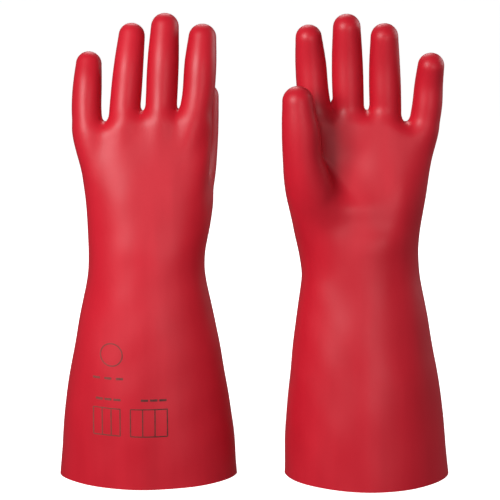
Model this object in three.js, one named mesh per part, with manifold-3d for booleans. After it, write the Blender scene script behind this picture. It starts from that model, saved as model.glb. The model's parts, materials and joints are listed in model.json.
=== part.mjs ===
// A pair of long insulating rubber gloves, standing on their cuff rims with the fingers up.
// Units are millimetres, +Z is up, and both cuff rims rest on Z = 0.
//
// Each glove is drawn in its own hand frame: u runs across the hand towards the thumb,
// v comes out of the palm, and w runs up the hand. The back glove shows the back of the
// hand to -Y and the palm glove, the same left-hand glove turned half a turn, its palm.
// A glove is one skin of rubber. It is cut here into the zones that flex on their own, and
// every bend is a ball on the moving zone inside a hollow socket on the zone below it.

import * as THREE from 'three';
import Module from 'manifold-3d';

const wasm = await Module();
wasm.setup();

// ---- sizes shared by both gloves ----
const WALL = 2.6;
const CLEARANCE = 0.6;
const SOCKET_MARGIN = 1.7;
const WRIST_HEIGHT = 178;
const WRIST_HALF_DEPTH = 31;
const WRIST_RANGE_DEG = 30;
const KNUCKLE_RANGE_DEG = 40;
const FINGER_RANGE_DEG = 50;
const THUMB_SWING_DEG = 35;
const THUMB_RANGE_DEG = 45;
const FINGER_ROOT_HEIGHT = 285;
const RIM_LEANNESS = 0.1;

// Rounding of the meshes.
const SIDES_CUFF = 28;
const SIDES_PALM = 24;
const SIDES_FINGER = 12;
const SIDES_BORE = 8;

// Each finger: where its axis crosses the finger roots (rootU) and its tip (tipU), how high
// its two joints and its top are, its radius at the knuckle and at the tip, and how far the
// tip curls forward of the palm plane.
const BACK_GLOVE = {
  name: 'back_glove',
  centreX: -83.2,
  turnDeg: 0,
  rimHalfWidth: 70,
  rimHalfDepth: 44,
  rimU: 0,
  wristHalfWidth: 44,
  wristU: 0,
  thumb: { rootU: 22, swingU: 42, bendU: 43.5, tipU: 43.5, tipW: 293.5 },
  fingers: {
    index: {
      rootU: 39.6, tipU: 44.7,
      knuckle: 299, middle: 323, top: 352,
      radius: 12.5, tipRadius: 10.7, curl: 8,
    },
    middle: {
      rootU: 12.3, tipU: 16,
      knuckle: 300, middle: 327, top: 360,
      radius: 12.7, tipRadius: 11.1, curl: 9,
    },
    ring: {
      rootU: -15.4, tipU: -8.9,
      knuckle: 297, middle: 322, top: 352.5,
      radius: 12.2, tipRadius: 10.7, curl: 10,
    },
    little: {
      rootU: -44.4, tipU: -42.3,
      knuckle: 289, middle: 308, top: 331,
      radius: 11, tipRadius: 9.9, curl: 9,
    },
  },
};

const PALM_GLOVE = {
  name: 'palm_glove',
  centreX: 84.7,
  turnDeg: 180,
  rimHalfWidth: 64.5,
  rimHalfDepth: 50,
  rimU: -4,
  wristHalfWidth: 45,
  wristU: 3,
  thumb: { rootU: 24, swingU: 49, bendU: 51, tipU: 50, tipW: 297 },
  fingers: {
    index: {
      rootU: 38.6, tipU: 45.1,
      knuckle: 299, middle: 323, top: 352,
      radius: 12.3, tipRadius: 10.4, curl: 9,
    },
    middle: {
      rootU: 13.1, tipU: 16.2,
      knuckle: 300, middle: 327, top: 360,
      radius: 12.3, tipRadius: 10.8, curl: 9,
    },
    ring: {
      rootU: -15, tipU: -12,
      knuckle: 297, middle: 322, top: 353,
      radius: 12.1, tipRadius: 10.8, curl: 9,
    },
    little: {
      rootU: -46, tipU: -48.2,
      knuckle: 289, middle: 308, top: 331,
      radius: 11.1, tipRadius: 10, curl: 9,
    },
  },
};

// ---- closed solids ----

// Welds a geometry's repeated corners and hands it over as a solid that can be cut and joined.
function solid(geometry) {
  const position = geometry.getAttribute('position');
  const source = geometry.index ? Array.from(geometry.index.array) : [...Array(position.count).keys()];
  const known = new Map();
  const corners = [];
  const welded = source.map((vertex) => {
    const point = [position.getX(vertex), position.getY(vertex), position.getZ(vertex)];
    const key = point.map((value) => Math.round(value * 1e4)).join();
    if (!known.has(key)) {
      known.set(key, corners.length / 3);
      corners.push(...point);
    }
    return known.get(key);
  });
  const triangles = [];
  for (let i = 0; i < welded.length; i += 3) {
    const [a, b, c] = welded.slice(i, i + 3);
    if (a !== b && b !== c && c !== a) {
      triangles.push(a, b, c);
    }
  }
  return new wasm.Manifold(new wasm.Mesh({
    numProp: 3,
    vertProperties: new Float32Array(corners),
    triVerts: new Uint32Array(triangles),
  }));
}

function joined(solids) {
  return solids.reduce((whole, next) => whole.add(next));
}

function without(whole, cuts) {
  return cuts.reduce((rest, cut) => rest.subtract(cut), whole);
}

// A closed loft through level ovals, each { w, u, a, b, boxy }: height, centre, half width,
// half depth, and how far the oval swells towards a rounded box (0 is an ellipse, and below 0
// it thins towards a lens).
function levelLoft(levels, sides) {
  const corners = [];
  for (const { w, u, a, b, boxy = 0 } of levels) {
    const swell = (value) => Math.sign(value) * Math.abs(value) ** (1 - boxy);
    for (let side = 0; side < sides; side += 1) {
      const angle = (2 * Math.PI * side) / sides;
      corners.push(u + a * swell(Math.cos(angle)), b * swell(Math.sin(angle)), w);
    }
  }
  const triangles = [];
  const last = (levels.length - 1) * sides;
  for (let side = 0; side < sides; side += 1) {
    const next = (side + 1) % sides;
    for (let base = 0; base < last; base += sides) {
      triangles.push(base + side, base + next, base + sides + next);
      triangles.push(base + side, base + sides + next, base + sides + side);
    }
    if (side > 0 && side < sides - 1) {
      triangles.push(0, side + 1, side);
      triangles.push(last, last + side, last + side + 1);
    }
  }
  const geometry = new THREE.BufferGeometry();
  geometry.setAttribute('position', new THREE.BufferAttribute(new Float32Array(corners), 3));
  geometry.setIndex(triangles);
  return solid(geometry);
}

// A turned solid from a half profile of [radius, height] pairs, standing at `foot` along `axis`.
function turned(profile, sides, foot, axis) {
  const points = profile.map(([radius, height]) => new THREE.Vector2(radius, height));
  const geometry = new THREE.LatheGeometry(points, sides);
  const turn = new THREE.Quaternion().setFromUnitVectors(new THREE.Vector3(0, 1, 0), axis);
  geometry.applyQuaternion(turn);
  geometry.translate(foot.x, foot.y, foot.z);
  return solid(geometry);
}

// Profile points of a round end: from the pole to the equator, or back again at the far end.
function roundEnd(radius, height, steps, upward) {
  const points = [];
  for (let step = 0; step <= steps; step += 1) {
    const angle = (Math.PI / 2) * (upward ? step / steps : 1 - step / steps);
    const bulge = radius * Math.sin(angle);
    points.push([Math.max(radius * Math.cos(angle), 0), height + (upward ? bulge : -bulge)]);
  }
  points[upward ? steps : 0][0] = 0;
  return points;
}

function ball(centre, radius, axis) {
  const profile = [...roundEnd(radius, 0, 5, false), ...roundEnd(radius, 0, 5, true).slice(1)];
  return turned(profile, SIDES_FINGER, centre, axis);
}

// The barrel that the wrist turns on: round about the line it hinges on, oval across.
function wristBarrel(glove, growth) {
  const geometry = new THREE.SphereGeometry(1, 24, 14);
  geometry.rotateZ(Math.PI / 2);
  const depth = WRIST_HALF_DEPTH + growth;
  geometry.scale(glove.wristHalfWidth + growth, depth, depth);
  geometry.translate(glove.wristU, 0, WRIST_HEIGHT);
  return solid(geometry);
}

function relief(radius, restBend, rangeDeg) {
  return radius * Math.tan((restBend + THREE.MathUtils.degToRad(rangeDeg)) / 2) + SOCKET_MARGIN;
}

// ---- fingers and thumb ----

// A digit is a chain of two tubes: `joints` holds its two joint centres and the centre of its
// round tip, `radii` the radius at each, `from` a point further down its axis inside the hand.
function fingerDigit(finger) {
  const at = (w, v) => {
    const share = (w - FINGER_ROOT_HEIGHT) / (finger.top - FINGER_ROOT_HEIGHT);
    return new THREE.Vector3(finger.rootU + share * (finger.tipU - finger.rootU), v, w);
  };
  const share = (finger.middle - finger.knuckle) / (finger.top - finger.knuckle);
  return {
    from: at(FINGER_ROOT_HEIGHT - 45, 0),
    joints: [at(finger.knuckle, 1), at(finger.middle, 3.5), at(finger.top - finger.tipRadius, finger.curl)],
    radii: [finger.radius, THREE.MathUtils.lerp(finger.radius, finger.tipRadius, share), finger.tipRadius],
    rootRadius: finger.radius * 0.45,
    rangesDeg: [KNUCKLE_RANGE_DEG, FINGER_RANGE_DEG],
  };
}

function thumbDigit(thumb) {
  return {
    from: new THREE.Vector3(thumb.rootU, 4, 196),
    joints: [
      new THREE.Vector3(thumb.swingU, 31.5, 256),
      new THREE.Vector3(thumb.bendU, 36, 277),
      new THREE.Vector3(thumb.tipU, 38.5, thumb.tipW),
    ],
    radii: [14, 13, 11.5],
    rootRadius: 19,
    rangesDeg: [THUMB_SWING_DEG, THUMB_RANGE_DEG],
  };
}

// Adds each stretch's direction and length, and how far below each joint its socket stops.
function measured(digit) {
  const [knuckle, middle, tip] = digit.joints;
  const stretches = [[digit.from, knuckle], [knuckle, middle], [middle, tip]];
  const axes = stretches.map(([low, high]) => high.clone().sub(low).normalize());
  const lengths = stretches.map(([low, high]) => high.distanceTo(low));
  const reliefs = digit.rangesDeg.map((rangeDeg, joint) => (
    relief(digit.radii[joint], axes[joint].angleTo(axes[joint + 1]), rangeDeg)
  ));
  return { ...digit, axes, lengths, reliefs };
}

function digitTip(digit) {
  const [, radius, tipRadius] = digit.radii;
  const length = digit.lengths[2];
  const outside = turned(
    [...roundEnd(radius, 0, 4, false), ...roundEnd(tipRadius, length, 4, true)],
    SIDES_FINGER, digit.joints[1], digit.axes[2],
  );
  const bore = turned(
    [[0, -radius - 2], [radius - WALL, -radius - 2], ...roundEnd(tipRadius - WALL, length, 2, true)],
    SIDES_BORE, digit.joints[1], digit.axes[2],
  );
  return outside.subtract(bore);
}

function digitBase(digit) {
  const [radius, farRadius] = digit.radii;
  const length = digit.lengths[1];
  const end = length - digit.reliefs[1];
  const endRadius = THREE.MathUtils.lerp(radius, farRadius, end / length);
  const outside = turned(
    [...roundEnd(radius, 0, 4, false), [endRadius, end], [0, end]],
    SIDES_FINGER, digit.joints[0], digit.axes[1],
  );
  const bore = turned(
    [[0, -radius - 2], [radius - WALL, -radius - 2], [farRadius - WALL, length + 2], [0, length + 2]],
    SIDES_BORE, digit.joints[0], digit.axes[1],
  );
  return without(outside, [bore, ball(digit.joints[1], farRadius + CLEARANCE, digit.axes[2])]);
}

// The short collar on the hand that a digit's ball sits in.
function digitCollar(digit) {
  const end = digit.lengths[0] - digit.reliefs[0];
  return turned(
    [[0, 0], [digit.rootRadius, 0], [digit.radii[0], end], [0, end]],
    SIDES_FINGER, digit.from, digit.axes[0],
  );
}

function digitCollarBore(digit) {
  const start = WALL * 2;
  const reach = digit.lengths[0] + 2;
  return turned(
    [[0, start], [digit.rootRadius - WALL, start], [digit.radii[0] - WALL, reach], [0, reach]],
    SIDES_BORE, digit.from, digit.axes[0],
  );
}

// ---- palm and cuff ----

// The palm from wrist to finger roots, its skin moved in by `inset`.
function palm(glove, inset) {
  const wrist = { w: WRIST_HEIGHT, u: glove.wristU, a: glove.wristHalfWidth, b: WRIST_HALF_DEPTH };
  const levels = [
    wrist,
    { w: 194, u: glove.wristU * 0.6, a: 44.6, b: 28.4, boxy: 0.03 },
    { w: 218, u: glove.wristU * 0.2, a: 46.6, b: 24.4, boxy: 0.1 },
    { w: 243, u: -0.3, a: 50, b: 21, boxy: 0.2 },
    { w: 262, u: -1.2, a: 53.6, b: 18.4, boxy: 0.3 },
    { w: 274 - inset * 0.3, u: -1.8, a: 54.6, b: 15.6, boxy: 0.35 },
    { w: 281 - inset * 0.7, u: -1.4, a: 52.6, b: 12, boxy: 0.35 },
    { w: 285 - inset, u: -0.8, a: 49, b: 7.5, boxy: 0.35 },
  ].map((level) => ({ ...level, a: level.a - inset, b: level.b - inset }));
  if (inset > 0) {
    levels.unshift({ ...levels[0], w: WRIST_HEIGHT - WRIST_HALF_DEPTH - 2 });
  }
  return levelLoft(levels, inset > 0 ? SIDES_PALM - 6 : SIDES_PALM);
}

function hand(glove, digits) {
  const outside = joined([palm(glove, 0), wristBarrel(glove, 0), ...digits.map(digitCollar)]);
  return without(outside, [
    palm(glove, WALL),
    ...digits.map(digitCollarBore),
    ...digits.map((digit) => ball(digit.joints[0], digit.radii[0] + CLEARANCE, digit.axes[1])),
  ]);
}

// The gauntlet: a flared sleeve with a plain flat rim, stopping short of the wrist barrel.
function cuff(glove) {
  const stop = WRIST_HEIGHT - relief(WRIST_HALF_DEPTH, 0, WRIST_RANGE_DEG);
  const heights = [0, 40, 80, 118, 148, stop];
  const level = (w, inset) => {
    const share = 1 - w / WRIST_HEIGHT;
    const flare = Math.sin((Math.PI / 2) * share ** 1.35);
    return {
      w,
      u: THREE.MathUtils.lerp(glove.wristU, glove.rimU, share),
      a: THREE.MathUtils.lerp(glove.wristHalfWidth, glove.rimHalfWidth, flare) - inset,
      b: THREE.MathUtils.lerp(WRIST_HALF_DEPTH, glove.rimHalfDepth, flare) - inset,
      boxy: -RIM_LEANNESS * flare,
    };
  };
  const outside = levelLoft(heights.map((w) => level(w, 0)), SIDES_CUFF);
  const ends = { 0: -1, [stop]: stop + 1 };
  const inside = levelLoft(heights.map((w) => ({ ...level(w, WALL), w: ends[w] ?? w })), SIDES_CUFF);
  return without(outside, [inside, wristBarrel(glove, CLEARANCE)]);
}

// ---- the pair ----

const RUBBER = new THREE.MeshStandardMaterial({
  name: 'insulating_rubber',
  color: 0xb3202c,
  roughness: 0.45,
});

function mesh(name, shape, glove) {
  const { vertProperties, triVerts } = shape.getMesh();
  const geometry = new THREE.BufferGeometry();
  geometry.setAttribute('position', new THREE.BufferAttribute(vertProperties, 3));
  geometry.setIndex(new THREE.BufferAttribute(triVerts, 1));
  geometry.rotateZ(THREE.MathUtils.degToRad(glove.turnDeg));
  geometry.translate(glove.centreX, 0, 0);
  geometry.computeVertexNormals();
  const result = new THREE.Mesh(geometry, RUBBER);
  result.name = name;
  return result;
}

function glovePieces(glove) {
  const digits = { thumb: measured(thumbDigit(glove.thumb)) };
  for (const [name, finger] of Object.entries(glove.fingers)) {
    digits[name] = measured(fingerDigit(finger));
  }
  const pieces = [
    mesh(`${glove.name}_cuff`, cuff(glove), glove),
    mesh(`${glove.name}_hand`, hand(glove, Object.values(digits)), glove),
  ];
  for (const [name, digit] of Object.entries(digits)) {
    pieces.push(mesh(`${glove.name}_${name}_base`, digitBase(digit), glove));
    pieces.push(mesh(`${glove.name}_${name}_tip`, digitTip(digit), glove));
  }
  return pieces;
}

const gloves = new THREE.Group();
gloves.name = 'insulating_gloves';
gloves.add(...glovePieces(BACK_GLOVE), ...glovePieces(PALM_GLOVE));

export default gloves;
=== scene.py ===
"""A pair of insulating rubber gloves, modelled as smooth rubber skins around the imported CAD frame.

Each glove is a rounded field (negative inside the rubber's outer face) that is meshed, hollowed to
an even wall, and cut across at the seams between flexing zones. Lengths in the field are in
millimetres in the glove's own hand frame: u across the hand towards the thumb, v out of the palm,
w up the hand. The finished meshes are in metres in the CAD frame.
"""

import json
import math

import bmesh
import bpy
import numpy as np
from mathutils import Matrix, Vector


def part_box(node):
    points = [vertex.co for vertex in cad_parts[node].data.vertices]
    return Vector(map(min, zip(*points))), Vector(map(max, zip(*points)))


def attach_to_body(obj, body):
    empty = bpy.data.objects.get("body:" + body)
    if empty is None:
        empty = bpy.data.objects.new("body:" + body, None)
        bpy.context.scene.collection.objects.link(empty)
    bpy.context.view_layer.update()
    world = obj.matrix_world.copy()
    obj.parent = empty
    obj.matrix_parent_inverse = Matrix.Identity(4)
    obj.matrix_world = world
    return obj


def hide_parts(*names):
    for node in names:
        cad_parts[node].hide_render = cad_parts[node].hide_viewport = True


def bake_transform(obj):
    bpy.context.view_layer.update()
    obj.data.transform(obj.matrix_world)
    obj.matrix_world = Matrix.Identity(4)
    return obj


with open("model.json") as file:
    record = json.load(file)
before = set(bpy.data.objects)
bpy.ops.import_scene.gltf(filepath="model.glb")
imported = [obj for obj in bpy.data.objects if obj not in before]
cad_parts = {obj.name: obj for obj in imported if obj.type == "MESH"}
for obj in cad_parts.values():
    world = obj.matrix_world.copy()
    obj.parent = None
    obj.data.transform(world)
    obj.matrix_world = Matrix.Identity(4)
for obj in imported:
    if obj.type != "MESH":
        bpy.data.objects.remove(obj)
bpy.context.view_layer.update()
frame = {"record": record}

MM = 0.001
WALL = 2.6
DIGITS = ("thumb", "index", "middle", "ring", "little")
JOINTS = {joint["name"]: joint for joint in frame["record"]["behaviour"]["joints"]}

# How wide the cuff is at each height, from 0 at the wrist to 1 at the rim, and the wrist's own size.
FLARE_HEIGHTS = (-25, 0, 44, 83, 102, 122, 141, 160, 178, 194, 210)
FLARE_SHARES = (1.08, 1, 0.86, 0.64, 0.505, 0.355, 0.2, 0.07, 0.012, 0, 0)
WRIST_HALF_WIDTH = 44
WRIST_HALF_DEPTH = 31
WRIST_HEIGHT = 178
WRIST_SEAM = 150
WRIST_BEND_END = 206

# The hand above the wrist: little-finger edge, thumb edge, depth to the palm and to the back, and
# how far each level oval is swollen towards a rounded box (2 is an ellipse).
HAND_HEIGHTS = (150, 168, 182, 197, 216, 235, 253, 272, 295)
LITTLE_EDGE = (-44, -44, -44.1, -44.6, -45.6, -48, -50.6, -52.6, -51)
THUMB_EDGE = (44, 44, 44.4, 46, 47.4, 48.6, 49.6, 50.4, 49)
PALM_DEPTH = (31, 31, 30.5, 28.6, 25.2, 21.8, 18.6, 15.4, 12.4)
BACK_DEPTH = (31, 31, 30.6, 28.8, 25.4, 22, 18.8, 15.4, 12.2)
SQUARENESS = (2, 2, 2.02, 2.06, 2.2, 2.35, 2.5, 2.6, 2.6)
RIM_LEANNESS = 0.2

# Where the palm ends below the fingers, and how much lower it is at the little finger and the index.
PALM_TOP = 285
LITTLE_DROP = 9
INDEX_DROP = 2

# The roots of the fingers inside the palm, from the deeper up: how far below the knuckle, how far
# towards the middle of the hand on the two outer fingers, how far back, and the share of the
# knuckle's radius. An outer finger's knuckle is at least OUTER_FINGER_U off the middle.
FINGER_ROOTS = ((52, 9, 1.5, 0.3), (22, 2.6, 0.6, 0.94))
OUTER_FINGER_U = 30
PATH_STEPS = 29

# Soft hills, or hollows where the height is negative: height, middle (u, w) and spread (u, w).
PALM_HOLLOW = (-3.9, (11, 250), (17, 20))
LITTLE_PAD = (2.4, (-27, 224), (14, 26))
HEEL_PAD = (1.2, (-16, 190), (16, 11))
PALM_FOLD = (1.3, (4, 216), (16, 9))
PALM_WRIST_DIP = (-1.2, (2, 201), (28, 11))
BACK_SWELL = (1.2, (-14, 232), (22, 26))
BACK_WRIST_DIP = (-1.0, (12, 200), (20, 16))
PALM_HILLS = (PALM_HOLLOW, LITTLE_PAD, HEEL_PAD, PALM_FOLD, PALM_WRIST_DIP)
BACK_HILLS = (BACK_SWELL, BACK_WRIST_DIP)
KNUCKLE_RIDGE = 0.8
FINGER_PAD = 0.7
WAVE = 0.45
RIPPLE = 0.2

# How softly one form runs into the next, in millimetres: over the top of the palm, between the palm
# and the fingers, and between the palm and the thumb, which is softer down at its heel.
PALM_TOP_REACH = 10
FINGER_REACH = 7
THUMB_REACH = 5.5
THUMB_HEEL_REACH = 12
THUMB_HEEL_HEIGHTS = (212, 246)

# How far apart the field is compared for the shading, which evens out ripples finer than this.
SHADING_REACH = 2.5

# Grid steps of the outer and inner skin.
OUTER_STEP = 2.2
INNER_STEP = 3

# Per glove: the way it faces, how far its wrist sits off the middle of the hand, how much its wrist
# is widened, its half sizes at the rim, the points (u, v, w, radius) up the root of its thumb, and
# the radius of each digit at the knuckle, bend and tip.
GLOVES = {
    "back_glove": {
        "turn": 1,
        "wrist_u": 0,
        "wrist_gain": 0,
        "rim_half_width": 70,
        "rim_half_depth": 44,
        "thumb_root": ((20, 2, 180, 13), (28, 11, 204, 17.5), (35, 22, 230, 17.5)),
        "radii": {
            "thumb": (13, 12, 10.8),
            "index": (12.1, 12.1, 10.6),
            "middle": (12, 11.8, 10.6),
            "ring": (11.7, 11.1, 10),
            "little": (11.3, 10.8, 9.8),
        },
    },
    "palm_glove": {
        "turn": -1,
        "wrist_u": 3,
        "wrist_gain": 0.5,
        "rim_half_width": 64.5,
        "rim_half_depth": 50,
        "thumb_root": ((28, 2, 180, 14.5), (35.5, 10.5, 205, 18.6), (43, 21.5, 231, 19)),
        "radii": {
            "thumb": (15, 13.6, 11.5),
            "index": (11.9, 11.6, 9.9),
            "middle": (11.9, 11.6, 10.4),
            "ring": (12.1, 11.6, 10.4),
            "little": (11.4, 10.7, 10),
        },
    },
}


# ---- small numeric helpers ----

def smooth_curve(x, knots, values):
    """Cubic curve through (knots, values), flat beyond the ends."""
    knots = np.asarray(knots, float)
    values = np.asarray(values, float)
    slopes = np.gradient(values, knots)
    x = np.clip(x, knots[0], knots[-1])
    low = np.clip(np.searchsorted(knots, x) - 1, 0, len(knots) - 2)
    width = knots[low + 1] - knots[low]
    t = (x - knots[low]) / width
    return (
        values[low] * (2 * t**3 - 3 * t**2 + 1)
        + slopes[low] * width * (t**3 - 2 * t**2 + t)
        + values[low + 1] * (3 * t**2 - 2 * t**3)
        + slopes[low + 1] * width * (t**3 - t**2)
    )


def smooth_step(x, low, high):
    t = np.clip((x - low) / (high - low), 0, 1)
    return t * t * (3 - 2 * t)


def smooth_min(a, b, reach):
    share = np.clip(0.5 + 0.5 * (b - a) / reach, 0, 1)
    return b + (a - b) * share - reach * share * (1 - share)


def smooth_max(a, b, reach):
    return -smooth_min(-a, -b, reach)


def hill(x, y, middle, spread):
    return np.exp(-((x - middle[0]) / spread[0]) ** 2 - ((y - middle[1]) / spread[1]) ** 2)


# ---- the shape of one glove ----

class Glove:
    """One glove's shape, as a distance field in its hand frame, and the way from there to the CAD frame."""

    def __init__(self, name, settings):
        self.name = name
        self.turn = settings["turn"]
        self.settings = settings
        wrist_x = JOINTS[f"{name}_wrist"]["pos_m"][0] / MM
        self.centre_x = wrist_x - self.turn * settings["wrist_u"]
        low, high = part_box(f"{name}_cuff")
        rim_x = (low[0] + high[0]) / 2 / MM
        self.rim_u = (rim_x - self.centre_x) * self.turn
        self.paths = {digit: self.digit_path(digit) for digit in DIGITS}

    def hand_point(self, metres):
        x, y, z = (value / MM for value in metres)
        return np.array(((x - self.centre_x) * self.turn, y * self.turn, z))

    def to_metres(self, points):
        points = np.asarray(points, float)
        world = points * (self.turn, self.turn, 1) + (self.centre_x, 0, 0)
        return world * MM

    def joint_point(self, digit, which):
        lower = "swing" if digit == "thumb" else "knuckle"
        joint = JOINTS[f"{self.name}_{digit}_{lower if which == 0 else 'bend'}"]
        return self.hand_point(joint["pos_m"])

    def digit_path(self, digit):
        """Points down the middle of a digit from inside the hand to its round tip, with radii."""
        knuckle = self.joint_point(digit, 0)
        bend = self.joint_point(digit, 1)
        radii = self.settings["radii"][digit]
        low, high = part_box(f"{self.name}_{digit}_tip")
        top = high[2] / MM
        lean = (bend - knuckle) / (bend - knuckle)[2]
        tip_u = bend[0] + lean[0] * (top - radii[2] - bend[2])
        corners = np.array((self.hand_point(low), self.hand_point(high)))
        tip_v = corners[:, 1].max() - radii[2]
        tip = np.array((tip_u, tip_v, top - radii[2]))
        if digit == "thumb":
            root = [np.array(point, float) for point in self.settings["thumb_root"]]
            points = [point[:3] for point in root]
            radius_list = [point[3] for point in root]
        else:
            inward = np.sign(knuckle[0]) * (abs(knuckle[0]) > OUTER_FINGER_U)
            points, radius_list = [], []
            for down, side, back, share in FINGER_ROOTS:
                points.append(knuckle - lean * down - (side * inward, back, 0))
                radius_list.append(radii[0] * share)
        points += [knuckle, bend, tip]
        radius_list += list(radii)
        points = np.array(points)
        lengths = np.concatenate(([0], np.cumsum(np.linalg.norm(np.diff(points, axis=0), axis=1))))
        steps = np.linspace(0, lengths[-1], PATH_STEPS)
        middle = np.stack([smooth_curve(steps, lengths, points[:, axis]) for axis in range(3)], 1)
        return middle, smooth_curve(steps, lengths, radius_list)

    def digit_field(self, p, digit):
        """A chain of tapering round rods along the digit, worked out only above its root."""
        middle, radii = self.paths[digit]
        field = np.full(len(p), 1e3)
        near = p[:, 2] > middle[0, 2] - 45
        q = p[near]
        best = np.full(len(q), 1e3)
        for start, end, r0, r1 in zip(middle[:-1], middle[1:], radii[:-1], radii[1:]):
            along = end - start
            share = np.clip((q - start) @ along / (along @ along), 0, 1)
            gap = np.linalg.norm(q - start - share[:, None] * along, axis=1)
            best = np.minimum(best, gap - (r0 + (r1 - r0) * share))
        field[near] = best
        return field

    def sleeve_field(self, p):
        """Cuff, wrist and palm: level ovals that flare to the rim and flatten into the hand."""
        u, v, w = p.T
        settings = self.settings
        flare = smooth_curve(w, FLARE_HEIGHTS, FLARE_SHARES)
        wrist_shift = settings["wrist_u"] * (1 - smooth_step(w, 182, 228))
        low_edge = smooth_curve(w, HAND_HEIGHTS, LITTLE_EDGE)
        high_edge = smooth_curve(w, HAND_HEIGHTS, THUMB_EDGE)
        half_width = (high_edge - low_edge) / 2 + (settings["rim_half_width"] - WRIST_HALF_WIDTH) * flare
        half_width = half_width + settings["wrist_gain"]
        towards_rim = 1 - np.clip(w, 0, WRIST_HEIGHT) / WRIST_HEIGHT
        rim_shift = (self.rim_u - settings["wrist_u"]) * towards_rim
        centre = (low_edge + high_edge) / 2 + wrist_shift + rim_shift
        depth_gain = (settings["rim_half_depth"] - WRIST_HALF_DEPTH) * flare
        palm_depth = smooth_curve(w, HAND_HEIGHTS, PALM_DEPTH)
        back_depth = smooth_curve(w, HAND_HEIGHTS, BACK_DEPTH)
        depth = np.where(v > 0, palm_depth, back_depth) + depth_gain
        power = smooth_curve(w, HAND_HEIGHTS, SQUARENESS) - RIM_LEANNESS * flare
        across = np.abs(u - centre) / half_width + 1e-9
        deep = np.abs(v) / depth + 1e-9
        size = (across**power + deep**power) ** (1 / power)
        slope_u = (across / size) ** (power - 1) / half_width
        slope_v = (deep / size) ** (power - 1) / depth
        side = (size - 1) / np.hypot(slope_u, slope_v)
        top = PALM_TOP - LITTLE_DROP * smooth_step(-u, 8, 36) - INDEX_DROP * smooth_step(u, 30, 52)
        return smooth_max(side, w - top, PALM_TOP_REACH)

    def relief(self, p):
        """Soft hills and hollows moulded into the skin, as outward travel."""
        u, v, w = p.T
        palm = smooth_step(v, 0, 8)
        back = smooth_step(-v, 0, 8)
        rise = np.zeros(len(p))
        for digit in DIGITS[1:]:
            middle, _ = self.paths[digit]
            axis_u = smooth_curve(w, middle[:, 2], middle[:, 0])
            ridge = np.exp(-((u - axis_u) / 8.5) ** 2)
            rise += back * KNUCKLE_RIDGE * ridge * smooth_step(w, 240, 276) * (1 - smooth_step(w, 282, 312))
            rise += palm * FINGER_PAD * hill(u, w, (axis_u, 270), (9, 12))
        for side, hills in ((palm, PALM_HILLS), (back, BACK_HILLS)):
            for height, middle, spread in hills:
                rise += side * height * hill(u, w, middle, spread)
        wave = np.sin(u * 0.071 + w * 0.038 + 0.7) * np.sin(v * 0.083 - w * 0.047 + 1.9)
        ripple = np.sin(u * 0.13 - w * 0.061 + 2.3) * np.sin(v * 0.11 + w * 0.093)
        rise += WAVE * wave * (1 - smooth_step(w, 230, 300))
        return rise + RIPPLE * ripple * (1 - smooth_step(w, 150, 290))

    def field(self, p):
        """How far each point is outside the rubber's outer face, negative inside."""
        palm = self.sleeve_field(p)
        fingers = np.full(len(p), 1e3)
        for digit in DIGITS[1:]:
            fingers = np.minimum(fingers, self.digit_field(p, digit))
        hand = smooth_min(palm, fingers, FINGER_REACH)
        heel = 1 - smooth_step(p[:, 2], *THUMB_HEEL_HEIGHTS)
        thumb_reach = THUMB_REACH + THUMB_HEEL_REACH * heel
        hand = smooth_min(hand, self.digit_field(p, "thumb"), thumb_reach)
        return hand - self.relief(p)

    def slope(self, p, offset=0.35):
        moves = np.eye(3) * offset
        rise = [self.field(p + move) - self.field(p - move) for move in moves]
        return np.stack(rise, 1) / (2 * offset)


# ---- meshing the field ----

def grid_field(glove, inset, step):
    """The field, moved inwards by inset, on a box of points around the glove."""
    reach_u = max(glove.settings["rim_half_width"] + abs(glove.rim_u) + 6, 74)
    axes = [
        np.arange(-reach_u, reach_u + step, step),
        np.arange(-57, 57 + step, step),
        np.arange(-7, 366 + step, step),
    ]
    points = np.stack(np.meshgrid(*axes, indexing="ij"), -1).reshape(-1, 3)
    values = np.concatenate([glove.field(chunk) for chunk in np.array_split(points, 12)])
    origin = np.array([axis[0] for axis in axes])
    return (values + inset).reshape([len(axis) for axis in axes]), origin


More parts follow.
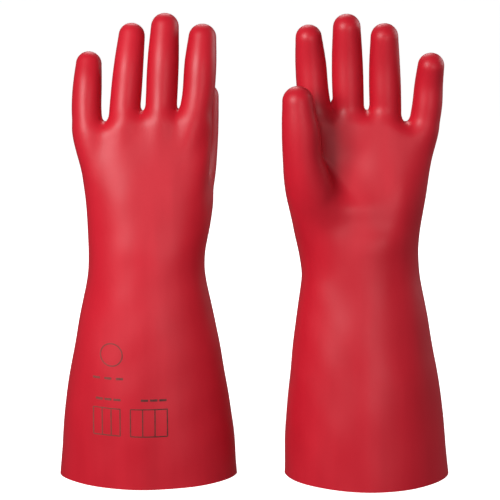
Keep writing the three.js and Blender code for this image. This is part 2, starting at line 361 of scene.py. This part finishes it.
def surface_net(values, origin, step):
    """Quads around every place where the grid changes sign, one vertex in each crossed cell."""
    inside = values < 0
    shape = np.array(values.shape) - 1
    corners = [(i, j, k) for i in (0, 1) for j in (0, 1) for k in (0, 1)]
    window = lambda array, c: array[c[0]:c[0] + shape[0], c[1]:c[1] + shape[1], c[2]:c[2] + shape[2]]
    count = sum(window(inside, c).astype(np.int8) for c in corners)
    cells = np.argwhere((count > 0) & (count < 8))
    at = np.stack([window(values, c)[tuple(cells.T)] for c in corners], 1)
    total = np.zeros((len(cells), 3))
    crossings = np.zeros(len(cells))
    for first, c in enumerate(corners):
        for second, d in enumerate(corners):
            if first < second and sum(abs(a - b) for a, b in zip(c, d)) == 1:
                crossed = (at[:, first] < 0) != (at[:, second] < 0)
                share = at[crossed, first] / (at[crossed, first] - at[crossed, second])
                total[crossed] += np.array(c) + share[:, None] * (np.array(d) - np.array(c))
                crossings[crossed] += 1
    vertices = origin + step * (cells + total / crossings[:, None])
    number = np.full(shape, -1)
    number[tuple(cells.T)] = np.arange(len(cells))
    quads = []
    for axis in range(3):
        lower = [slice(None)] * 3
        upper = [slice(None)] * 3
        lower[axis] = slice(0, -1)
        upper[axis] = slice(1, None)
        for outward in (False, True):
            crossed = np.argwhere((inside[tuple(lower)] != outward) & (inside[tuple(upper)] == outward))
            b, c = (axis + 1) % 3, (axis + 2) % 3
            crossed = crossed[(crossed[:, b] > 0) & (crossed[:, c] > 0)]
            crossed = crossed[(crossed[:, b] < shape[b]) & (crossed[:, c] < shape[c])]
            ring = []
            for move_b, move_c in ((1, 1), (0, 1), (0, 0), (1, 0)):
                cell = crossed.copy()
                cell[:, b] -= move_b
                cell[:, c] -= move_c
                ring.append(number[tuple(cell.T)])
            quad = np.stack(ring, 1)
            quads.append(quad[:, ::-1] if outward else quad)
    return vertices, np.concatenate(quads)


def skin(glove, inset, step):
    """One face of the rubber: outer for inset 0, inner (turned inside out) for the wall."""
    values, origin = grid_field(glove, inset, step)
    vertices, quads = surface_net(values, origin, step)
    for _ in range(3):
        slope = glove.slope(vertices)
        distance = glove.field(vertices) + inset
        vertices = vertices - slope * (distance / np.maximum((slope**2).sum(1), 0.2))[:, None]
    return vertices, quads[:, ::-1] if inset else quads


# ---- cutting it into the zones that flex ----

# How near a seam a face has to be for the seam to cut it, how close two corners are joined, and
# how few edges make an edge loop a speck, which ranks as if it lay FAR_AWAY.
SEAM_BAND = 8
JOIN_DISTANCE = 0.06
SPECK_EDGES = 12
FAR_AWAY = 50

# How far each bend spreads along the digit: below and above its lower joint, then around its upper.
BEND_REACH = {
    "thumb": (7, 7, 8),
    "index": (3, 10, 8),
    "middle": (3, 10, 8),
    "ring": (3, 10, 8),
    "little": (3, 9, 7),
}


def digit_bends(glove, digit):
    """Start and end of both bends of a digit, and the two seams below and between them."""
    knuckle = glove.joint_point(digit, 0)
    bend = glove.joint_point(digit, 1)
    axis = (bend - knuckle) / np.linalg.norm(bend - knuckle)
    below, above, around = BEND_REACH[digit]
    first = (knuckle - axis * below, knuckle + axis * above)
    second = (bend - axis * around, bend + axis * around)
    seams = (first[0] - axis * 0.5, (first[1] + second[0]) / 2)
    return {"axis": axis, "first": first, "second": second, "seams": seams}


def digit_owner(glove, points):
    """Number of the digit that each point is on, or -1 where the palm is nearer."""
    distances = np.stack([glove.digit_field(points, digit) for digit in DIGITS], 1)
    return np.where(distances.min(1) < glove.sleeve_field(points), distances.argmin(1), -1)


def cut(mesh, faces, point, normal):
    """Splits these faces where a plane crosses them."""
    edges = dict.fromkeys(edge for face in faces for edge in face.edges)
    corners = dict.fromkeys(corner for face in faces for corner in face.verts)
    geometry = [*faces, *edges, *corners]
    bmesh.ops.bisect_plane(mesh, geom=geometry, dist=1e-4, plane_co=Vector(point), plane_no=Vector(normal))


def face_centres(mesh):
    return np.array([f.calc_center_median()[:] for f in mesh.faces])


def zoned_faces(glove, vertices, quads):
    """Cuts one skin at every seam and returns its vertices and its faces grouped by zone."""
    mesh = bmesh.new()
    handles = [mesh.verts.new(v) for v in vertices]
    for quad in quads.tolist():
        mesh.faces.new([handles[i] for i in quad])
    everything = mesh.verts[:] + mesh.edges[:] + mesh.faces[:]
    bmesh.ops.bisect_plane(
        mesh, geom=everything, dist=1e-4, plane_co=(0, 0, 0), plane_no=(0, 0, 1), clear_inner=True
    )
    near_wrist = [face for face in mesh.faces if abs(face.calc_center_median().z - WRIST_SEAM) < SEAM_BAND]
    cut(mesh, near_wrist, (0, 0, WRIST_SEAM), (0, 0, 1))
    bends = {digit: digit_bends(glove, digit) for digit in DIGITS}
    for number, digit in enumerate(DIGITS):
        for seam in bends[digit]["seams"]:
            centres = face_centres(mesh)
            owner = digit_owner(glove, centres)
            chosen = (owner == number) & (np.abs((centres - seam) @ bends[digit]["axis"]) < SEAM_BAND)
            cut(mesh, [f for f, ok in zip(mesh.faces[:], chosen) if ok], seam, bends[digit]["axis"])
    bmesh.ops.remove_doubles(mesh, verts=mesh.verts[:], dist=JOIN_DISTANCE)
    centres = face_centres(mesh)
    owner = digit_owner(glove, centres)
    zone = np.where(centres[:, 2] < WRIST_SEAM, "cuff", "hand").astype(object)
    for number, digit in enumerate(DIGITS):
        lower, upper = bends[digit]["seams"]
        mine = owner == number
        past = lambda seam: (centres - seam) @ bends[digit]["axis"] > 0
        zone[mine & past(lower)] = f"{digit}_base"
        zone[mine & past(upper)] = f"{digit}_tip"
    mesh.verts.index_update()
    corners = np.array([v.co[:] for v in mesh.verts])
    faces = [[v.index for v in f.verts] for f in mesh.faces]
    mesh.free()
    return corners, faces, zone


def boundary_loops(mesh):
    """The open edges of a mesh, grouped into the loops they form, always in the same order."""
    edges = dict.fromkeys(edge for edge in mesh.edges if edge.is_boundary)
    loops = []
    while edges:
        edge = next(iter(edges))
        del edges[edge]
        loop = [edge]
        growing = [edge]
        while growing:
            for vert in growing.pop().verts:
                for other in vert.link_edges:
                    if other in edges:
                        del edges[other]
                        loop.append(other)
                        growing.append(other)
        loops.append(loop)
    return loops


def loop_centre(loop):
    return sum((v.co for e in loop for v in e.verts), Vector()) / (2 * len(loop))


def open_ends(glove, zone):
    """The middle of each place where a piece was cut from the next, or left open at the rim."""
    wrist = (glove.settings["wrist_u"], 0, WRIST_SEAM)
    if zone == "cuff":
        return [(glove.rim_u, 0, 0), wrist]
    if zone == "hand":
        return [wrist] + [digit_bends(glove, digit)["seams"][0] for digit in DIGITS]
    seams = digit_bends(glove, zone.split("_")[0])["seams"]
    return seams if zone.endswith("base") else seams[1:]


def close_walls(mesh, ends):
    """Joins the outer edge loop to the inner one at every open end with a flat ring of rubber.

    Specks left over by the cutting, which have few edges, come last and are filled.
    """
    loops = boundary_loops(mesh)
    for end in ends:
        distance = lambda loop: (loop_centre(loop) - Vector(end)).length
        loops.sort(key=lambda loop: distance(loop) + FAR_AWAY * (len(loop) < SPECK_EDGES))
        bmesh.ops.bridge_loops(mesh, edges=loops.pop(0) + loops.pop(0))
    bmesh.ops.holes_fill(mesh, edges=[edge for loop in loops for edge in loop])


def follows_neighbour(face, skin_faces):
    """True if a cap face runs along an edge the same way as the skin beside it, so is inside out."""
    for loop in face.loops:
        for other in loop.edge.link_loops:
            if other.face in skin_faces:
                return other.vert == loop.vert
    return False


def build_piece(glove, zone, skins):
    """One zone as a closed mesh: its outer and inner skin and the rings of wall between them."""
    mesh = bmesh.new()
    for corners, faces, zones in skins:
        wanted = [face for face, name in zip(faces, zones) if name == zone]
        used = sorted({i for face in wanted for i in face})
        handles = {i: mesh.verts.new(corners[i]) for i in used}
        for face in wanted:
            mesh.faces.new([handles[i] for i in face])
    skin_faces = set(mesh.faces[:])
    close_walls(mesh, open_ends(glove, zone))
    for face in [face for face in mesh.faces if face not in skin_faces]:
        face.material_index = 1
        if follows_neighbour(face, skin_faces):
            face.normal_flip()
    bmesh.ops.triangulate(mesh, faces=[f for f in mesh.faces if len(f.verts) > 4])
    mesh.verts.index_update()
    flat = [f.material_index == 1 for f in mesh.faces]
    corners = np.array([v.co[:] for v in mesh.verts])
    outward = glove.slope(corners, SHADING_REACH)
    outward /= np.linalg.norm(outward, axis=1)[:, None]
    outward *= np.where(np.abs(glove.field(corners)) < WALL / 2, 1, -1)[:, None]
    name = f"{glove.name}_{zone}"
    data = bpy.data.meshes.new(f"{name}_skin")
    data.from_pydata(glove.to_metres(corners), [], [[v.index for v in f.verts] for f in mesh.faces])
    mesh.free()
    data.update()
    data.shade_smooth()
    turned = outward * (glove.turn, glove.turn, 1)
    loop_normals = turned[[loop.vertex_index for loop in data.loops]]
    for polygon in data.polygons:
        if flat[polygon.index]:
            loop_normals[list(polygon.loop_indices)] = polygon.normal
    data.normals_split_custom_set(loop_normals.tolist())
    piece = bpy.data.objects.new(f"{name}_skin", data)
    bpy.context.scene.collection.objects.link(piece)
    return piece


def attach(piece, glove, zone):
    """Rides the cuff on its CAD body, bakes every other piece in place, and stands each in for its CAD
    node.
    """
    name = glove.name
    place = lambda point: tuple(glove.to_metres(point))
    digit = zone.split("_")[0]
    if zone == "cuff":
        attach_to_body(piece, f"{name}_cuff")
    elif zone == "hand":
        start = place((glove.settings["wrist_u"], 0, WRIST_SEAM))
        end = place((glove.settings["wrist_u"], 0, WRIST_BEND_END))
        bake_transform(piece)
    elif zone.endswith("base"):
        start, end = (place(point) for point in digit_bends(glove, digit)["first"])
        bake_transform(piece)
    else:
        start, end = (place(point) for point in digit_bends(glove, digit)["second"])
        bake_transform(piece)
    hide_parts(f"{name}_{zone}")


# ---- printed marks on the back glove's cuff ----

LINE_HALF_WIDTH = 0.42
DASH_HALF_WIDTH = 0.85
INK_RISE = 0.15
RING_MIDDLE = (-25.5, 104)
RING_RADIUS = 8.5

# Each row of dashes is a height and where its dashes start. A row of boxes is its two ends.
DASHES = {86: (-40, -31, -22), 70: (-38, -31, -24, -3, 4, 11)}
DASH_LENGTH = 5.5
BOXES = ((-40, -19), (-11, 17))
BOX_HEIGHTS = (42, 63)
BOX_UPRIGHTS = 4

# How far behind the middle of the glove the search for its skin starts.
BEYOND_SKIN = 70.0


def ink_lines():
    """Half widths and (u, w) corners of plain strokes: a ring, rows of dashes, empty record boxes."""
    turns = np.linspace(0, 2 * math.pi, 37)
    u, w = RING_MIDDLE
    ring = [(u + RING_RADIUS * math.cos(turn), w + RING_RADIUS * math.sin(turn)) for turn in turns]
    dashes = []
    for height, starts in DASHES.items():
        dashes += [[(start, height), (start + DASH_LENGTH, height)] for start in starts]
    boxes = []
    bottom, top = BOX_HEIGHTS
    for left, right in BOXES:
        boxes += [[(left, height), (right, height)] for height in BOX_HEIGHTS]
        boxes += [[(upright, bottom), (upright, top)] for upright in np.linspace(left, right, BOX_UPRIGHTS)]
    thin = [(LINE_HALF_WIDTH, line) for line in [ring] + boxes]
    return thin + [(DASH_HALF_WIDTH, line) for line in dashes]


def back_surface(glove, across, height):
    """The points of the back of the skin at these places across and up the glove."""
    outside = np.full(len(across), -BEYOND_SKIN)
    inside = np.zeros(len(across))
    for _ in range(24):
        middle = (outside + inside) / 2
        is_out = glove.field(np.stack((across, middle, height), 1)) > 0
        outside = np.where(is_out, middle, outside)
        inside = np.where(is_out, inside, middle)
    return np.stack((across, inside, height), 1)


def ink_ribbon(glove, half_width, line):
    """Corners and faces of one stroke: a closed strip that hugs the skin."""
    line = np.array(line, float)
    lengths = np.concatenate(([0], np.cumsum(np.linalg.norm(np.diff(line, axis=0), axis=1))))
    steps = np.linspace(0, lengths[-1], int(lengths[-1]) + 2)
    middle = np.stack([np.interp(steps, lengths, line[:, axis]) for axis in (0, 1)], 1)
    along = np.gradient(middle, axis=0)
    along /= np.linalg.norm(along, axis=1)[:, None]
    side = np.stack((-along[:, 1], along[:, 0]), 1) * half_width
    rails = []
    for edge, rises in ((middle - side, (-1, 1)), (middle + side, (1, -1))):
        points = back_surface(glove, edge[:, 0], edge[:, 1])
        outward = glove.slope(points)
        outward /= np.linalg.norm(outward, axis=1)[:, None]
        rails += [points + outward * INK_RISE * rise for rise in rises]
    corners = np.stack(rails, 1).reshape(-1, 3)
    last = len(corners) - 4
    faces = [(0, 1, 2, 3), (last + 3, last + 2, last + 1, last)]
    for start in range(0, last, 4):
        for rail in range(4):
            following = (rail + 1) % 4
            faces.append((start + rail, start + 4 + rail, start + 4 + following, start + following))
    return corners, faces


def make_marks(glove):
    """All the strokes as one mesh that rides on the cuff."""
    corners = []
    faces = []
    for half_width, line in ink_lines():
        points, strips = ink_ribbon(glove, half_width, line)
        faces += [[len(corners) + i for i in strip] for strip in strips]
        corners += points.tolist()
    data = bpy.data.meshes.new("cuff_marks")
    data.from_pydata(glove.to_metres(corners), [], faces)
    mesh = bmesh.new()
    mesh.from_mesh(data)
    bmesh.ops.recalc_face_normals(mesh, faces=mesh.faces)
    mesh.to_mesh(data)
    mesh.free()
    data.materials.append(ink_material(glove))
    marks = bpy.data.objects.new("cuff_marks", data)
    bpy.context.scene.collection.objects.link(marks)
    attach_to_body(marks, "back_glove_cuff")


# ---- materials ----

DEEP_RED = (0.5, 0.006, 0.018)
BRIGHT_RED = (0.62, 0.012, 0.028)
BROWN_INK = (0.27, 0.062, 0.05)
DARK_INK = (0.05, 0.012, 0.012)


class Recipe:
    """Short ways to add the nodes both materials are made of."""

    def __init__(self, name):
        self.material = bpy.data.materials.new(name)
        self.material.use_nodes = True
        self.nodes = self.material.node_tree.nodes
        self.links = self.material.node_tree.links
        self.shader = self.nodes["Principled BSDF"]
        self.place = self.nodes.new("ShaderNodeTexCoord").outputs["Object"]

    def noise(self, scale, detail, roughness=0.5, stretch=(1, 1, 1)):
        mapping = self.nodes.new("ShaderNodeMapping")
        mapping.inputs["Scale"].default_value = stretch
        self.links.new(self.place, mapping.inputs["Vector"])
        node = self.nodes.new("ShaderNodeTexNoise")
        node.inputs["Scale"].default_value = scale
        node.inputs["Detail"].default_value = detail
        node.inputs["Roughness"].default_value = roughness
        self.links.new(mapping.outputs["Vector"], node.inputs["Vector"])
        return node.outputs["Fac"]

    def remap(self, value, low, high, to_low, to_high):
        node = self.nodes.new("ShaderNodeMapRange")
        sockets = ("From Min", "From Max", "To Min", "To Max")
        for socket, number in zip(sockets, (low, high, to_low, to_high)):
            node.inputs[socket].default_value = number
        self.links.new(value, node.inputs["Value"])
        return node.outputs["Result"]

    def sum(self, first, second):
        node = self.nodes.new("ShaderNodeMath")
        node.operation = "ADD"
        self.links.new(first, node.inputs[0])
        self.links.new(second, node.inputs[1])
        return node.outputs["Value"]

    def colours(self, value, low, high):
        ramp = self.nodes.new("ShaderNodeValToRGB")
        ramp.color_ramp.elements[0].color = (*low, 1)
        ramp.color_ramp.elements[1].color = (*high, 1)
        self.links.new(value, ramp.inputs["Fac"])
        self.links.new(ramp.outputs["Color"], self.shader.inputs["Base Color"])

    def bump(self, height, strength, distance):
        node = self.nodes.new("ShaderNodeBump")
        node.inputs["Strength"].default_value = strength
        node.inputs["Distance"].default_value = distance
        self.links.new(height, node.inputs["Height"])
        self.links.new(node.outputs["Normal"], self.shader.inputs["Normal"])


def rubber_material():
    """Dipped red rubber: cloudy colour, faint runs down the dip, a satin shine with a fine grain."""
    recipe = Recipe("insulating_rubber_skin")
    recipe.shader.inputs["Specular IOR Level"].default_value = 0.38
    recipe.shader.inputs["IOR"].default_value = 1.5
    cloud = recipe.remap(recipe.noise(9, 3), 0.3, 0.7, 0, 0.65)
    runs = recipe.remap(recipe.noise(60, 2, stretch=(1, 1, 0.08)), 0.35, 0.65, 0, 0.35)
    recipe.colours(recipe.sum(cloud, runs), DEEP_RED, BRIGHT_RED)
    grain = recipe.noise(420, 3, 0.6)
    smears = recipe.remap(recipe.noise(26, 4, 0.6), 0.3, 0.7, 0.4, 0.5)
    recipe.links.new(smears, recipe.shader.inputs["Roughness"])
    recipe.bump(grain, 0.12, 0.0004)
    return recipe.material


def ink_material(glove):
    """Stamped ink, dark towards the middle of the cuff and turning brown towards its little-finger edge."""
    recipe = Recipe("stamped_ink")
    recipe.shader.inputs["Specular IOR Level"].default_value = 0.3
    split = recipe.nodes.new("ShaderNodeSeparateXYZ")
    recipe.links.new(recipe.place, split.inputs["Vector"])
    brown_x = (glove.centre_x - 40) * MM
    dark = (glove.centre_x + 6) * MM
    brown_to_dark = recipe.remap(split.outputs["X"], brown_x, dark, 0.1, 0.75)
    patches = recipe.remap(recipe.noise(260, 3, 0.6), 0.3, 0.7, -0.15, 0.2)
    recipe.colours(recipe.sum(brown_to_dark, patches), BROWN_INK, DARK_INK)
    matt = recipe.remap(recipe.noise(300, 2), 0.3, 0.7, 0.5, 0.62)
    recipe.links.new(matt, recipe.shader.inputs["Roughness"])
    return recipe.material


def make_gloves():
    rubber = rubber_material()
    for name, settings in GLOVES.items():
        glove = Glove(name, settings)
        skins = [
            zoned_faces(glove, *skin(glove, 0, OUTER_STEP)),
            zoned_faces(glove, *skin(glove, WALL, INNER_STEP)),
        ]
        zones = ["cuff", "hand"] + [f"{digit}_{part}" for digit in DIGITS for part in ("base", "tip")]
        for zone in zones:
            piece = build_piece(glove, zone, skins)
            piece.data.materials.append(rubber)
            attach(piece, glove, zone)
        if name == "back_glove":
            make_marks(glove)


# ---- studio ----

def look_at(thing, target):
    aim = Vector(target) - thing.location
    thing.rotation_euler = aim.to_track_quat("-Z", "Y").to_euler()


def soft_light(name, place, target, size, power):
    data = bpy.data.lights.new(name, "AREA")
    data.shape = "RECTANGLE"
    data.size, data.size_y = size
    data.energy = power
    light = bpy.data.objects.new(name, data)
    light.location = place
    bpy.context.scene.collection.objects.link(light)
    look_at(light, target)


def pale_stage(name, corners, faces):
    """A pale, evenly lit piece of the studio that leaves no reflection in the gloves."""
    data = bpy.data.meshes.new(name)
    data.from_pydata(corners, [], faces)
    material = bpy.data.materials.new(f"pale_{name}")
    material.use_nodes = True
    shader = material.node_tree.nodes["Principled BSDF"]
    shader.inputs["Base Color"].default_value = (0.93, 0.93, 0.93, 1)
    shader.inputs["Roughness"].default_value = 0.9
    shader.inputs["Emission Color"].default_value = (1, 1, 1, 1)
    shader.inputs["Emission Strength"].default_value = 0.9
    data.materials.append(material)
    thing = bpy.data.objects.new(name, data)
    thing.visible_diffuse = False
    thing.visible_glossy = False
    bpy.context.scene.collection.objects.link(thing)


def studio():
    scene = bpy.context.scene
    world = bpy.data.worlds.new("studio")
    scene.world = world
    world.use_nodes = True
    background = world.node_tree.nodes["Background"]
    background.inputs["Color"].default_value = (1, 1, 1, 1)
    background.inputs["Strength"].default_value = 0.12

    half = 30
    floor = [(-half, -half, 0), (half, -half, 0), (half, half, 0), (-half, half, 0)]
    pale_stage("floor", floor, [(0, 1, 2, 3)])
    top = half / 2
    walls = floor + [(x, y, top) for x, y, _ in floor]
    pale_stage("walls", walls, [(i, (i + 1) % 4, (i + 1) % 4 + 4, i + 4) for i in range(4)])

    soft_light("key", (-0.62, -0.85, 0.62), (0, 0, 0.22), (0.5, 0.5), 12.6)
    soft_light("fill", (0.45, -1.3, 0.3), (0, 0, 0.2), (0.6, 0.6), 4)
    soft_light("rear", (-0.1, 1.1, 1.5), (0, 0, 0.2), (0.9, 0.9), 11)
    soft_light("side", (1.25, 0.6, 0.7), (0, 0, 0.2), (0.8, 0.8), 7)

    camera_data = bpy.data.cameras.new("camera")
    camera_data.lens = 111.9
    camera_data.sensor_width = 36
    camera = bpy.data.objects.new("camera", camera_data)
    camera.location = (-0.00325, -1.1799, 0.3977)
    scene.collection.objects.link(camera)
    look_at(camera, (-0.00325, 0, 0.179))
    scene.camera = camera
    scene.view_settings.view_transform = "Standard"


make_gloves()
studio()
